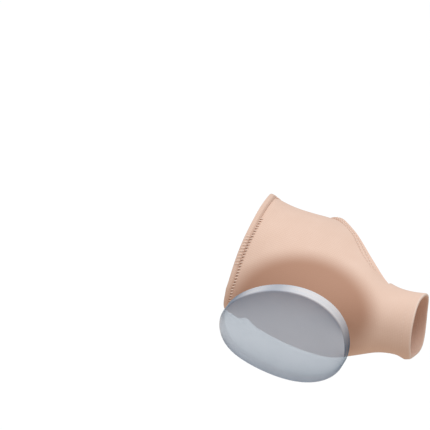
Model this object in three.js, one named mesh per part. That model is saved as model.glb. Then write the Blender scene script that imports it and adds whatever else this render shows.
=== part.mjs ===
// A bunion sleeve for a left foot: a forefoot tube of stretch knit that runs out into a big-toe tube,
// turned hems round its three openings, and an egg-shaped gel plate set against the medial side.
// Millimetres. +X runs to the toes, +Y to the lateral side and +Z up.
// The origin is the middle of the midfoot mouth.
import * as THREE from "three";

const { degToRad, smoothstep, clamp } = THREE.MathUtils;

// Knit wall, and the gap that parts each hem from the wall
const KNIT_WALL = 1.2;
const SEAM_GAP = 0.35;

// Mouth at the midfoot: how far its crown lies ahead of its middle, and how far its medial side does
const MOUTH_LEAN = 6;
const MOUTH_SKEW = 1;

// Web between the big toe and its neighbour, where the forefoot tube hands over to the toe tube
const WEB_X = 73;
const WEB_ANGLE = degToRad(68);
const TOE_WEB_ANGLE = degToRad(102);
const BLEND_START = 44;
const WEB_FALL = degToRad(60);

// Slanted front edge: where it crosses the lateral side
const LATERAL_EDGE_X = 14;

// End of the toe tube, and how far its crown lies ahead of its middle
const TOE_END_X = 88;
const TOE_END_LEAN = 1;

// Hems: their width along the knit and how far they stand proud of it on both faces
const MIDFOOT_HEM = { width: 4.4, proud: 0.5 };
const FOREFOOT_HEM = { width: 3.2, proud: 0.35 };
const TOE_HEM = { width: 4, proud: 0.25 };
const HEM_TAPER = degToRad(24);
const HEM_END_SHARE = 0.3;
const HEM_ROUNDING = 0.3;

// Pucker where the seam under the toe tube ends in its hem
const PUCKER = { height: 1.5, angle: degToRad(-80), spread: degToRad(13) };

// Gel plate: an egg-shaped outline, wider towards the toes, that leans with the flank of the sleeve
const PAD = {
  length: 59,
  height: 45.6,
  egg: 0.14,
  roll: degToRad(2),
  thickness: 5.4,
  bevel: 0.6,
  lean: degToRad(12),
  alongX: 32.5,
  upFlank: -10,
};
const PAD_PRESS = 2;
const PAD_GAP = 0.3;

// Exponents of the rounded sections: 1 is an ellipse, less is fuller
const SOLE_POWER = 0.78;
const TOE_POWER = 0.92;

// Steps of the meshes
const MEDIAL_STEPS = 22;
const LATERAL_STEPS = 26;
const WEB_CROWDING = 0.7;
const BRIDGE_STEPS = 12;
const FOREFOOT_ROWS = 18;
const TOE_ROWS = 4;
const HEM_ROWS = 4;
const PAD_STEPS = 72;

// Sections of the forefoot tube across X. medial and lateral: Y of the sides. top: Z of the crown.
// sole: Z of the sole. waist: Z of the widest line. ridge: how far the crown lies to the medial side.
// cant: fall to the lateral side. peak: how pointed the upper half is, where 1 is an ellipse.
const FOREFOOT_SECTIONS = [
  { x: -8, medial: -33, lateral: 34, top: 30.5, sole: -22.5, waist: -8, ridge: 2, cant: 0.04, peak: 1.35 },
  { x: 12, medial: -36.5, lateral: 36, top: 20.5, sole: -34, waist: -10.5, ridge: 2, cant: 0.04, peak: 1.3 },
  { x: 32, medial: -41, lateral: 38.5, top: 15.7, sole: -39, waist: -13, ridge: 1, cant: 0.02, peak: 1.15 },
  { x: 52, medial: -43.5, lateral: 40, top: 10.2, sole: -39.8, waist: -14.5, ridge: 0, cant: 0, peak: 1 },
  { x: 74, medial: -41, lateral: 40, top: 9, sole: -36, waist: -15, ridge: 0, cant: 0, peak: 1 },
];

// Sections of the big-toe tube across X. middle: Y of its centre. height: Z of its centre.
const TOE_SECTIONS = [
  { x: 44, middle: -25, height: -10.5, halfWidth: 18, halfHeight: 20 },
  { x: 60, middle: -25.5, height: -12, halfWidth: 17, halfHeight: 18 },
  { x: 76, middle: -26.5, height: -13.5, halfWidth: 14, halfHeight: 13.8 },
  { x: 92, middle: -27, height: -14.5, halfWidth: 13.5, halfHeight: 14.6 },
];

// A table's columns at x: cubic steps between its rows, each row's slope taken from the rows beside it.
function sectionAt(rows, x) {
  const last = rows.length - 1;
  const i = clamp(rows.findLastIndex((row) => row.x <= x), 0, last - 1);
  const from = rows[i];
  const to = rows[i + 1];
  const span = to.x - from.x;
  const t = (x - from.x) / span;
  const slope = (row, column) => {
    const before = rows[Math.max(row - 1, 0)];
    const after = rows[Math.min(row + 1, last)];
    return (after[column] - before[column]) / (after.x - before.x);
  };
  const section = {};
  for (const column of Object.keys(from)) {
    section[column] =
      (2 * t ** 3 - 3 * t ** 2 + 1) * from[column] +
      (t ** 3 - 2 * t ** 2 + t) * span * slope(i, column) +
      (3 * t ** 2 - 2 * t ** 3) * to[column] +
      (t ** 3 - t ** 2) * span * slope(i + 1, column);
  }
  return section;
}

// Round the foot, angle 0 is the medial side, a quarter turn the crown and half a turn the lateral side.
function forefootPoint(x, angle) {
  const s = sectionAt(FOREFOOT_SECTIONS, x);
  const half = (s.lateral - s.medial) / 2;
  const middle = (s.lateral + s.medial) / 2;
  const up = Math.max(Math.sin(angle), 0);
  const down = Math.max(-Math.sin(angle), 0);
  const y = middle - half * Math.cos(angle) - s.ridge * up ** 2;
  const rise = (s.top - s.waist) * up ** s.peak - (s.waist - s.sole) * down ** SOLE_POWER;
  return new THREE.Vector3(x, y, s.waist + rise - s.cant * (y - middle));
}

function toePoint(x, angle) {
  const s = sectionAt(TOE_SECTIONS, x);
  const fuller = (v) => Math.sign(v) * Math.abs(v) ** TOE_POWER;
  const y = s.middle - s.halfWidth * fuller(Math.cos(angle));
  const z = s.height + s.halfHeight * fuller(Math.sin(angle));
  return new THREE.Vector3(x, y, z);
}

// The knit's outer face: the forefoot form, drawn over to the toe form towards the web.
function sleevePoint(x, angle) {
  const turn = angle > Math.PI ? angle - 2 * Math.PI : angle;
  const pastWeb = Math.max(Math.abs(turn) - WEB_ANGLE, 0);
  const medialTurn = Math.min(Math.abs(turn), WEB_ANGLE);
  const toeTurn = Math.min((medialTurn * TOE_WEB_ANGLE) / WEB_ANGLE + pastWeb, Math.PI);
  const toe = toePoint(Math.max(x, BLEND_START), Math.sign(turn) * toeTurn).setX(x);
  const share = smoothstep(x, BLEND_START, WEB_X) * (1 - smoothstep(pastWeb, 0, WEB_FALL));
  return forefootPoint(x, angle).lerp(toe, share);
}

function mouthX(angle) {
  return MOUTH_LEAN * Math.sin(angle) + MOUTH_SKEW * Math.cos(angle);
}

function toeEndX(angle) {
  return TOE_END_X + TOE_END_LEAN * Math.sin(angle);
}

// Seen from above, the front edge runs straight from the web to the lateral side.
function frontEdgeX(angle) {
  const share = (1 + Math.cos(angle)) / (1 + Math.cos(WEB_ANGLE));
  return LATERAL_EDGE_X + (WEB_X - LATERAL_EDGE_X) * share;
}

// The front hem narrows to a point at the web.
function frontHemWidth(angle) {
  const fromWeb = Math.min(angle, 2 * Math.PI - angle) - WEB_ANGLE;
  return FOREFOOT_HEM.width * (HEM_END_SHARE + (1 - HEM_END_SHARE) * smoothstep(fromWeb, 0, HEM_TAPER));
}

// Angles once round a ring: even steps over the medial side, then steps over the lateral side that crowd
// towards the web at both ends, where crowd is the share of an even step taken off there.
function ringAngles(webAngle, lateralSteps, crowd) {
  const medialTurn = 2 * webAngle;
  const lateralTurn = 2 * Math.PI - medialTurn;
  return Array.from({ length: MEDIAL_STEPS + lateralSteps }, (_, i) => {
    if (i <= MEDIAL_STEPS) return -webAngle + (i / MEDIAL_STEPS) * medialTurn;
    const share = (i - MEDIAL_STEPS) / lateralSteps;
    const swing = Math.sin(2 * Math.PI * share) / (2 * Math.PI);
    return webAngle + (share - crowd * swing) * lateralTurn;
  });
}

const FOOT_ANGLES = ringAngles(WEB_ANGLE, LATERAL_STEPS, WEB_CROWDING);
const TOE_ANGLES = ringAngles(TOE_WEB_ANGLE, BRIDGE_STEPS, 0);

// Quads between two rows of point numbers, seen anticlockwise from outside. Closed rows join end to start.
function rowQuads(row, next, closed) {
  const count = closed ? row.length : row.length - 1;
  return Array.from({ length: count }, (_, i) => {
    const j = (i + 1) % row.length;
    return [row[i], next[i], next[j], row[j]];
  });
}

// A sheet of the knit's outer face over a whole grid: pointAt gives the point at a row's share and an angle.
function gridSheet(angles, rows, closed, pointAt) {
  const points = [];
  const shares = [];
  const quads = [];
  let before = null;
  for (let r = 0; r <= rows; r++) {
    const row = angles.map((angle) => points.push(pointAt(r / rows, angle)) - 1);
    shares.push(...angles.map(() => r / rows));
    if (before) quads.push(...rowQuads(before, row, closed));
    before = row;
  }
  return { points, quads, shares };
}

// The sleeve's sheet: forefoot rows up to the web, then toe rows that share the medial half of the last one.
function sleeveSheet() {
  const start = (angle) => mouthX(angle) + MIDFOOT_HEM.width + SEAM_GAP;
  const isMedial = (angle) => angle <= WEB_ANGLE;
  const end = (angle) => (isMedial(angle) ? WEB_X : frontEdgeX(angle) - frontHemWidth(angle) - SEAM_GAP);
  const sheet = gridSheet(FOOT_ANGLES, FOREFOOT_ROWS, true, (share, angle) =>
    sleevePoint(THREE.MathUtils.lerp(start(angle), end(angle), share), angle),
  );
  const { points, quads } = sheet;
  const webRow = FOREFOOT_ROWS * FOOT_ANGLES.length;
  let before = TOE_ANGLES.map((angle, i) =>
    i <= MEDIAL_STEPS ? webRow + i : points.push(toePoint(WEB_X, angle)) - 1,
  );
  for (let r = 1; r <= TOE_ROWS; r++) {
    const row = TOE_ANGLES.map((angle) => {
      const toeEnd = toeEndX(angle) - TOE_HEM.width - SEAM_GAP;
      return points.push(toePoint(THREE.MathUtils.lerp(WEB_X, toeEnd, r / TOE_ROWS), angle)) - 1;
    });
    quads.push(...rowQuads(before, row, true));
    before = row;
  }
  return { points, quads };
}

// The gel plate's frame: outward is its front face's normal, and rise runs up the flank.
const PAD_OUTWARD = new THREE.Vector3(0, -Math.cos(PAD.lean), -Math.sin(PAD.lean));
const PAD_RISE = new THREE.Vector3(0, -Math.sin(PAD.lean), Math.cos(PAD.lean));

// Lays the knit flat where the plate presses on it, and returns how far out the flat lies.
function pressFlat(points) {
  const flat = Math.max(...points.map((p) => p.dot(PAD_OUTWARD))) - PAD_PRESS;
  for (const p of points) {
    p.addScaledVector(PAD_OUTWARD, -Math.max(p.dot(PAD_OUTWARD) - flat, 0));
  }
  return flat;
}

function pointNormals({ points, quads }) {
  const normals = points.map(() => new THREE.Vector3());
  for (const [a, b, c, d] of quads) {
    const along = points[c].clone().sub(points[a]);
    const face = along.cross(points[d].clone().sub(points[b]));
    for (const corner of [a, b, c, d]) normals[corner].add(face);
  }
  return normals.map((normal) => normal.normalize());
}

// A closed wall from a sheet: outer and inner faces set off along the normals, and a rim on each open edge.
function wallGeometry(sheet, outward, inward) {
  const { points, quads } = sheet;
  const normals = pointNormals(sheet);
  const outer = points.map((p, i) => p.clone().addScaledVector(normals[i], outward(i)));
  const inner = points.map((p, i) => p.clone().addScaledVector(normals[i], -inward(i)));
  const count = points.length;
  const edges = new Map();
  for (const quad of quads) {
    quad.forEach((from, i) => {
      const to = quad[(i + 1) % quad.length];
      edges.set(`${from} ${to}`, [from, to]);
    });
  }
  const openEdges = [...edges.values()].filter(([from, to]) => !edges.has(`${to} ${from}`));
  const faces = [
    ...quads,
    ...quads.map(([a, b, c, d]) => [d + count, c + count, b + count, a + count]),
    ...openEdges.map(([from, to]) => [to, from, from + count, to + count]),
  ];
  const geometry = new THREE.BufferGeometry().setFromPoints([...outer, ...inner]);
  geometry.setIndex(faces.flatMap(([a, b, c, d]) => [a, b, c, a, c, d]));
  geometry.computeVertexNormals();
  return geometry;
}

// A hem is a rounded band: full thickness along its middle, thinning to the knit's own wall at both edges.
function hemGeometry(sheet, hem, extra = () => 0) {
  const bulge = (i) => Math.abs(Math.sin(Math.PI * sheet.shares[i])) ** HEM_ROUNDING;
  const outward = (i) => (hem.proud + extra(i)) * bulge(i);
  return wallGeometry(sheet, outward, (i) => KNIT_WALL + hem.proud * bulge(i));
}

function midfootHem() {
  const sheet = gridSheet(FOOT_ANGLES, HEM_ROWS, true, (share, angle) =>
    sleevePoint(mouthX(angle) + share * MIDFOOT_HEM.width, angle),
  );
  return hemGeometry(sheet, MIDFOOT_HEM);
}

function forefootHem() {
  const angles = FOOT_ANGLES.filter((angle) => angle > WEB_ANGLE);
  const sheet = gridSheet(angles, HEM_ROWS, false, (share, angle) =>
    sleevePoint(frontEdgeX(angle) - (1 - share) * frontHemWidth(angle), angle),
  );
  return hemGeometry(sheet, FOREFOOT_HEM);
}

function toeHem() {
  const sheet = gridSheet(TOE_ANGLES, HEM_ROWS, true, (share, angle) =>
    toePoint(toeEndX(angle) - (1 - share) * TOE_HEM.width, angle),
  );
  const pucker = (i) => {
    const off = (TOE_ANGLES[i % TOE_ANGLES.length] - PUCKER.angle) / PUCKER.spread;
    return PUCKER.height * Math.exp(-(off ** 2));
  };
  return hemGeometry(sheet, TOE_HEM, pucker);
}

function padGeometry() {
  const corners = Array.from({ length: PAD_STEPS }, (_, i) => {
    const angle = (2 * Math.PI * i) / PAD_STEPS;
    const x = (PAD.length / 2) * Math.cos(angle);
    const y = (PAD.height / 2) * Math.sin(angle) * (1 + PAD.egg * Math.cos(angle));
    return new THREE.Vector2(x, y).rotateAround(new THREE.Vector2(), PAD.roll);
  });
  const geometry = new THREE.ExtrudeGeometry(new THREE.Shape(corners), {
    depth: PAD.thickness - 2 * PAD.bevel,
    bevelThickness: PAD.bevel,
    bevelSize: PAD.bevel,
    bevelOffset: -PAD.bevel,
    bevelSegments: 2,
  });
  return geometry.translate(0, 0, PAD.bevel);
}

function namedMesh(name, geometry, material) {
  const mesh = new THREE.Mesh(geometry, material);
  mesh.name = name;
  return mesh;
}

const knit = () => new THREE.MeshStandardMaterial({ color: 0xe6c6b2, roughness: 0.85, metalness: 0 });
const gel = new THREE.MeshStandardMaterial({
  color: 0xaab4bf,
  roughness: 0.2,
  metalness: 0,
  transparent: true,
  opacity: 0.6,
});

const sheet = sleeveSheet();
const seat = pressFlat(sheet.points);

const pad = namedMesh("gel_pad", padGeometry(), gel);
pad.rotation.x = Math.PI / 2 + PAD.lean;
pad.position
  .set(PAD.alongX, 0, 0)
  .addScaledVector(PAD_RISE, PAD.upFlank)
  .addScaledVector(PAD_OUTWARD, seat + PAD_GAP);

const bunionSleeve = new THREE.Group();
bunionSleeve.name = "bunion_sleeve";
bunionSleeve.add(
  namedMesh("sleeve", wallGeometry(sheet, () => 0, () => KNIT_WALL), knit()),
  namedMesh("midfoot_hem", midfootHem(), knit()),
  namedMesh("forefoot_hem", forefootHem(), knit()),
  namedMesh("toe_hem", toeHem(), knit()),
  pad,
);

export default bunionSleeve;
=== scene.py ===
"""A gel bunion pad: a forefoot sleeve of stretch knit with a big-toe tube, and a gel plate on its side.

Metres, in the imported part's frame: +X runs towards the toe tube, +Y to the lateral side and +Z up.
The origin is the middle of the midfoot mouth.
"""

import math
from collections import namedtuple
from functools import partial

import bmesh
import bpy
import numpy as np
from bpy.props import FloatProperty, FloatVectorProperty, PointerProperty
from bpy.types import Operator, Panel, PropertyGroup
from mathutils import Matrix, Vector


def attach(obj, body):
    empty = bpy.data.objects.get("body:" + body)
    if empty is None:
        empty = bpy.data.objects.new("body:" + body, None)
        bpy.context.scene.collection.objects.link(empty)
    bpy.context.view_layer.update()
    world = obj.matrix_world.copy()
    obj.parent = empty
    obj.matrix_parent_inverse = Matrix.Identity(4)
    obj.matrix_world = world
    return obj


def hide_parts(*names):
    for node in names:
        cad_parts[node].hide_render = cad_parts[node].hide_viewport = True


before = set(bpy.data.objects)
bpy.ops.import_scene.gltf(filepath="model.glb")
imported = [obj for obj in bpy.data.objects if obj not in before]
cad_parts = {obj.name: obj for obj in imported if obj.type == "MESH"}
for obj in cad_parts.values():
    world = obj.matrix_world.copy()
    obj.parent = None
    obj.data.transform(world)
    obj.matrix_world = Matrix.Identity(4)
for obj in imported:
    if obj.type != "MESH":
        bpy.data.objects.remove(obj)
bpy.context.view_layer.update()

bl_info = {
    "name": "Gel bunion pad",
    "version": (1, 0, 0),
    "blender": (4, 5, 0),
    "location": "View3D > Sidebar > Bunion pad",
    "description": "Makes a bunion sleeve of stretch knit and the gel plate on its side",
    "category": "Add Mesh",
}

MM = 0.001
DEG = math.pi / 180
TURN = 2 * math.pi
BODY = "root"
KNIT = "beige_stretch_jersey"

# Form of the knit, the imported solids' own to within 2.5 mm. A bend is an amount in millimetres, and a middle angle
# and a spread in degrees.
MOUTH_LEAN = 6 * MM
MOUTH_SKEW = 1 * MM
MOUTH_BENDS = ((-2.5, 118, 20), (0.6, 62, 22))
WEB_X = 71.6 * MM
WEB_ANGLE = 68 * DEG
TOE_WEB_ANGLE = 102 * DEG
BLEND_START = 44 * MM
WEB_FALL = 60 * DEG
LATERAL_EDGE_X = 14 * MM
EDGE_BENDS = ((-2.3, 97, 13), (0.9, 77, 6))
TOE_END_X = 87.8 * MM
TOE_END_LEAN = 1 * MM
TOE_END_BENDS = ((-1.5, -75, 25), (-0.6, 80, 35), (-1.5, 180, 50))
HEM_TAPER = 24 * DEG
HEM_END_SHARE = 0.3
SOLE_POWER = 0.78
TOE_POWER = 0.92

# Sections of the forefoot tube, lengths in millimetres. medial and lateral: Y of the sides. top: Z of the crown.
# sole: Z of the sole. waist: Z of the widest line. ridge: how far the crown lies to the medial side.
# cant: fall to the lateral side. peak: how pointed the upper half is, where 1 is an ellipse.
FOREFOOT_SECTIONS = np.array(
    [
        # x, medial, lateral, top, sole, waist, ridge, cant, peak
        (-8, -33, 34, 30.5, -22.5, -8, 2, 0.04, 1.35),
        (12, -36.5, 36, 20.5, -34.9, -10.5, 2, 0.04, 1.3),
        (32, -41, 38.5, 15.7, -39.6, -13, 1, 0.02, 1.15),
        (52, -43.5, 40, 10.2, -39.8, -14.5, 0, 0, 1),
        (74, -41, 40, 9, -36, -15, 0, 0, 1),
    ]
) * (MM, MM, MM, MM, MM, MM, MM, 1, 1)

# Sections of the big-toe tube in millimetres. middle: Y of its centre. height: Z of its centre.
TOE_SECTIONS = np.array(
    [
        # x, middle, height, half width, half height
        (44, -25, -10.5, 18, 20),
        (60, -25.5, -12, 17, 18),
        (76, -26.5, -13.5, 14, 13.8),
        (92, -27, -14.5, 13.5, 14.6),
    ]
) * MM

# Hems: the groove where each is sewn to the sleeve, the roll at its outer edge, the rolled crown of the mouth, the
# turned-in cloth that stands out under the sole, the front hem's proud stretch and how it ends at the web
SEAM_GAP = 0.05 * MM
GROOVE_DEPTH = 0.32 * MM
GROOVE_WIDTH = 0.9 * MM
FLUSH_GROOVE_SHARE = 0.06
FLUSH_TUCK = 0.6 * MM
EDGE_ROLL = 0.3 * MM
TOE_EDGE_ROLL = 0.12 * MM
EDGE_ROLL_SHARE = 0.16
HEM_SQUARENESS = 5
CROWN_ROLL = 0.1 * MM
CROWN_MIDDLE = 90 * DEG
CROWN_SPREAD = 26 * DEG
ROLL_SINKS = (0.6, 1.0)
SOLE_ROLL = 1.6 * MM
SOLE_MIDDLE = -50 * DEG
SOLE_SPREAD = 34 * DEG
SOLE_FOLD = (4.2 * MM, 6.6 * MM)
SOLE_DIP = (1.0 * MM, 8.5 * MM, 2.4 * MM)
SOLE_RISE_POWER = 4
FRONT_BUMP = ((1.15, 122, 9),)
WEB_BINDING = 0.65 * MM
WEB_EASE = 5 * DEG
SLEEVE_EASE = 6 * DEG
END_CAP = 3 * DEG
BINDING_CAP = 20 * DEG

# Painted shades, where 1 is a deep seam: the midfoot seam and what is added where it opens, less some at the crown,
# then the roll, its wraps and its seam, the rows at the front and the pucker's gathers. A painted highlight along a
# rolled edge is an amount and a width.
# On a hem they set in over a part of its section's rise from the lower face, at -1, to the upper, at 1.
SEAM_SHADE = 0.2
OPEN_SEAM_SHADE = 0.4
OPEN_SEAM = (50 * DEG, 80 * DEG)
CROWN_SOFTENING = 0.7
ROLL_SHADE = 0.15
WRAP_SHADE = 0.25
ROLL_SEAM_SHADE = 0.6
ROW_SHADE = 0.9
GATHER_SHADE = 0.5
GATHERS = 60
FRONT_HIGHLIGHT = (0.5, 0.12)
TOE_HIGHLIGHT = (0.55, 0.1)
UPPER_FACE = (-0.9, 0.2)

# Two rows of stitches behind the front edge: a distance from it in millimetres, and a bend on the medial side
FRONT_ROWS = ((1.6, (3.9, 75, 11)), (3.0, (5.6, 77, 12)))
ROW_WIDTH = 0.45 * MM
ROW_DEPTH = 0.15 * MM
ROW_ENDS = (2 * DEG, 8 * DEG)

# Stitches: the rungs of the midfoot hem and the wraps over its roll, then the rows at the front edge and the toe hem.
# A pitch is a share of the stitch pitch, and a stitch is a share of its row's pitch.
RUNG_LENGTH = 2.0 * MM
RUNG_SHIFT = 0.25
RUNG_DIP = 0.2
RUNG_LIFT = 0.1 * MM
BARE_CROWN = 0.8
STITCH_SLANT = 0.5
WRAP_MIDDLE = 37 * DEG
WRAP_SPREAD = 13 * DEG
WRAP_ENDS = (0.8, 1.2)
WRAP_LENGTH = 1.2
FRONT_PITCH = 1.6
FRONT_STITCH = 0.6
FRONT_LIFT = 0.12 * MM
BUMP_EASE = 0.5 * MM
TOE_PITCH = 1.5
TOE_STITCH = 0.8
TOE_THREAD = 0.45
TOE_SINK = 0.08 * MM
ANGLE_STEP = 0.01

# Pucker where the seam under the toe tube ends in its hem
PUCKER_HEIGHT = 1.4 * MM
PUCKER_ANGLE = -80 * DEG
PUCKER_SPREAD = 14 * DEG
PUCKER_X = 82.3 * MM
PUCKER_LENGTH = 2.4 * MM

# Painted shadow of the gel plate on the knit of the medial flank, a darker oval: the direction it is laid out from,
# its middle to the right of the origin and above it as seen from there, its size and its soft edge, and where it
# fades below and ends
OVAL_AZIMUTH = 24 * DEG
OVAL_ELEVATION = 20 * DEG
OVAL_RIGHT = 18.6 * MM
OVAL_UP = -27.5 * MM
OVAL_LENGTH = 58 * MM
OVAL_HEIGHT = 46.2 * MM
OVAL_ROLL = -4 * DEG
OVAL_SOFT = (0.84, 1.2)
OVAL_FADE = 0.25
OVAL_FADE_DROP = 14 * MM
OVAL_SIDE_Y = (-16 * MM, -10 * MM)
OVAL_SOLE_Z = (-38 * MM, -32 * MM)

# Knit map: girth that the wales are counted round, and the cut piece before it is stretched
GIRTH = 200 * MM

# Gel plate: where its outline swells or is drawn in, as shares of its reach, where its rim gets painted shade, the
# sine over which its belly sets in, and the painted shade of its margin, which is weaker above
PLATE_SWELLS = ((0.055, 214, 26), (-0.02, -4, 24))
RIM_SHADE = ((1.0, -10, 27), (0.8, 141, 20), (0.45, 93, 14))
BELLY_TURN = 0.6
MARGIN_POWER = 2.6
MARGIN_FLOOR = 0.12
UPPER_MARGIN_LOSS = 0.3
UPPER_TURN = (-0.3, 0.3)

# How softly the knit gives under the gel plate, and the gap that is left between them
PRESS_SOFTNESS = 0.25 * MM
PLATE_GAP = 0.3 * MM

# Patterns of the materials: the size of one blotch, turn or line, and how much each adds to the whole
LOOP_LEAN = 1.2
LOOP_WAVE = 0.25
FUZZ_SIZE = 0.5 * MM
FUZZ_SHARE = 0.4
MOTTLE_SIZE = 9 * MM
MOTTLE_SHARE = 0.5
SEAM_STRENGTH = 0.4
TWIST_LENGTH = 0.35 * MM
CLOUD_SIZE = 14 * MM
CLOUD_SHARE = 0.15
PEEL_SIZE = 2.5 * MM
# painted reflection streaks round the gel rim: their size along and across it
RIM_STREAKS = (30 * MM, 2 * MM)

# A mix of two colours: its output and its setting
COLOURED = {"out": 2, "data_type": "RGBA"}

# Meshes: rows and columns of the grids, how much they crowd at their ends, and the distance under which they weld
SLEEVE_ROWS = 72
SLEEVE_CROWD = 0.85
TOE_ROWS = 16
TOE_CROWD = 0.6
MEDIAL_COLUMNS = 81
LATERAL_COLUMNS = 121
LATERAL_CROWD = 0.7
BRIDGE_COLUMNS = 49
PROFILE_ROWS = 49
RING_COLUMNS = 301
PLATE_COLUMNS = 181
PLATE_RINGS = 25
CORNER_ROWS = 7
STITCH_ROWS = 7
FINE_STEPS = 2001
SWEEP_ROWS = 17
SWEEP_COLUMNS = 97
WELD = 0.002 * MM

# Camera: where it stands round the origin, how far off, and the photograph's frame that it fills
CAMERA_AZIMUTH = 24 * DEG
CAMERA_ELEVATION = 20 * DEG
CAMERA_DISTANCE = 0.9
FRAME_PIXELS = 430
ORIGIN_PIXEL = (255, 245)
PIXEL_SIZE = 0.45 * MM
SENSOR = 36.0
CLIP = (0.01, 50)

# Stage: a round paper sweep well below the part, a soft sun, and a sky that is warm below and cool above
SWEEP_FLOOR = -0.6
SWEEP_RADIUS = 4.0
SWEEP_CURVE = 1.5
SWEEP_HEIGHT = 4.0
SUN_AZIMUTH = 10 * DEG
SUN_ELEVATION = 80 * DEG
SUN_STRENGTH = 1.85
SUN_SPREAD = 50 * DEG
SKY_LOW = "#D2BDAA"
SKY_HIGH = "#B9C3CB"
PAPER_GLOW = 0.32


def linear(hexadecimal):
    """A colour given as sRGB hex, as linear red, green, blue and an alpha of 1."""
    srgb = np.array([int(hexadecimal[i : i + 2], 16) for i in (1, 3, 5)]) / 255
    low, high = srgb / 12.92, ((srgb + 0.055) / 1.055) ** 2.4
    return (*np.where(srgb <= 0.04045, low, high).tolist(), 1.0)


def length(name, description, millimetres):
    """A size that the user can change, given in millimetres."""
    return FloatProperty(name=name, description=description, default=millimetres * MM, unit="LENGTH", precision=5)


def turn(name, description, degrees):
    """An angle that the user can change, given in degrees."""
    return FloatProperty(name=name, description=description, default=math.radians(degrees), subtype="ANGLE")


def share(name, description, value):
    """A number from 0 to 1 that the user can change."""
    return FloatProperty(name=name, description=description, default=value, min=0, max=1, subtype="FACTOR")


def paint(name, description, hexadecimal):
    """A colour that the user can change, given as sRGB hex."""
    default = linear(hexadecimal)
    return FloatVectorProperty(name=name, description=description, default=default, size=4, subtype="COLOR")


class SleeveSizes(PropertyGroup):
    """Sizes of the knit sleeve, its hems and its stitches."""

    wall: length("Knit wall", "Thickness of the stretched knit", 1.2)
    midfoot_hem: length("Midfoot hem", "Width of the rolled hem round the midfoot mouth", 2.6)
    forefoot_hem: length("Forefoot hem", "Width of the hem along the slanted front edge", 3.2)
    toe_hem: length("Toe hem", "Width of the hem round the end of the toe tube", 4.0)
    midfoot_proud: length("Midfoot hem proud", "How far the midfoot hem stands off the knit", 0.5)
    front_proud: length("Forefoot hem proud", "How far the forefoot hem stands off the knit", 0.06)
    toe_proud: length("Toe hem proud", "How far the toe hem stands off the knit", 0.06)
    stitch_pitch: length("Stitch pitch", "Distance from one stitch to the next", 1.42)
    thread: length("Thread", "Diameter of the sewing thread, drawn coarser than life so that it shows", 0.55)
    wale: length("Wale", "Distance from one column of loops to the next", 0.9)
    course: length("Course", "Distance from one row of loops to the next", 0.75)


class PlateSizes(PropertyGroup):
    """Sizes and place of the gel plate."""

    length: length("Length", "Length of the plate along the sleeve", 59)
    height: length("Height", "Height of the plate up the flank", 45.6)
    thickness: length("Thickness", "Thickness of the plate", 5.4)
    bevel: length("Edge rounding", "Radius of the plate's rounded edges", 0.6)
    egg: share("Egg", "How much higher the plate is towards the toe tube", 0.14)
    belly: share("Belly", "How much fuller the plate's lower half is", 0.03)
    roll: turn("Roll", "Turn of the plate in its own plane", 2)
    lean: turn("Lean", "How far the plate's front leans down", 12)
    along: length("Place along the sleeve", "X of the plate's middle", 32.5)
    up_flank: length("Place up the flank", "Height of the plate's middle up the leaning flank", -10)


class Colours(PropertyGroup):
    """Colours of the cloth, the gel and the stage."""

    knit: paint("Knit", "Face of the beige knit", "#ECCEBC")
    knit_gaps: paint("Knit gaps", "Shade between the loops of the knit", "#CFA68D")
    # painted shadow of the gel plate: the colour the knit is darkened to inside the oval
    oval_shadow: paint("Oval", "Darker oval on the medial side", "#B68B74")
    # painted highlight: paler knit along a hem's rolled edge, where it catches the light
    edge_highlight: paint("Folded edge", "Paler knit along a folded edge", "#F7E6DA")
    seam: paint("Seam", "Shade in the seams", "#A07862")
    thread: paint("Thread", "Sewing thread", "#F0D8C8")
    gel: paint("Gel", "Body of the gel", "#CCE0F5")
    # painted shade: the darker blue-grey the gel takes near its upper and lower edge
    gel_margin_shade: paint("Gel margin", "Gel near the plate's upper and lower edge", "#6A85A3")
    # painted sheen: a silvery colour much paler than the gel's face
    gel_rim: paint("Gel rim", "Silvery rim of the plate", "#F1F2F3")
    # painted shade: the colour the rim is darkened to at its toe end and in two places along its top
    rim_shade: paint("Dim gel rim", "Rim of the plate where it is dim", "#2C6A8E")
    face_solid: share("Gel face opacity", "How much the front face of the plate hides of what is behind", 0.74)
    back_solid: share("Gel back opacity", "How much the back of the plate hides of what is behind", 0.2)
    rim_solid: share("Gel rim opacity", "How much the rim of the plate hides of what is behind", 0.72)
    floor: paint("Floor", "Paper sweep under and behind the object", "#DCDCDC")


Patch = namedtuple("Patch", "points cloth shade tint slot")


def patch(points, cloth=None, shade=0.0, tint=0.0, slot=0):
    """A grid of points, or a stack of grids, with its map on the cloth, two tints and its material slot.

    shade is painted shade: the depth of a seam in the knit, or the nearness to the gel's margin; below 0 it is a
    painted highlight along a hem's rolled edge. tint is the painted shadow of the gel plate on the knit, or the
    painted shade of the gel's rim.
    """
    shape = points.shape[:-1]
    if cloth is None:
        cloth = np.zeros((*shape, 2))
    return Patch(points, cloth, np.broadcast_to(shade, shape), np.broadcast_to(tint, shape), slot)


def smooth(value, low, high):
    """0 below low, 1 above high and an S-shaped cubic between them."""
    t = np.clip((value - low) / (high - low), 0, 1)
    return t * t * (3 - 2 * t)


def hump(value, middle, spread):
    """A bell that is 1 at the middle and 1/e a spread away."""
    return np.exp(-(((value - middle) / spread) ** 2))


def bell_round(angle, middle, spread):
    """A bell round a ring: 1 at the middle angle, and 1/e a spread away on either side."""
    return hump((angle - middle + np.pi) % TURN, np.pi, spread)


def bends(angle, table, scale=MM):
    """The sum of a table's bells round a ring, each an amount to scale, a middle angle and a spread in degrees."""
    return sum(amount * scale * bell_round(angle, middle * DEG, spread * DEG) for amount, middle, spread in table)


def crowded(count, crowd):
    """Shares from 0 to 1 that lie closer together at both ends: t less a part of sin(2 pi t) / 2 pi."""
    t = np.linspace(0, 1, count)
    return t - crowd * np.sin(TURN * t) / TURN


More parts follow.
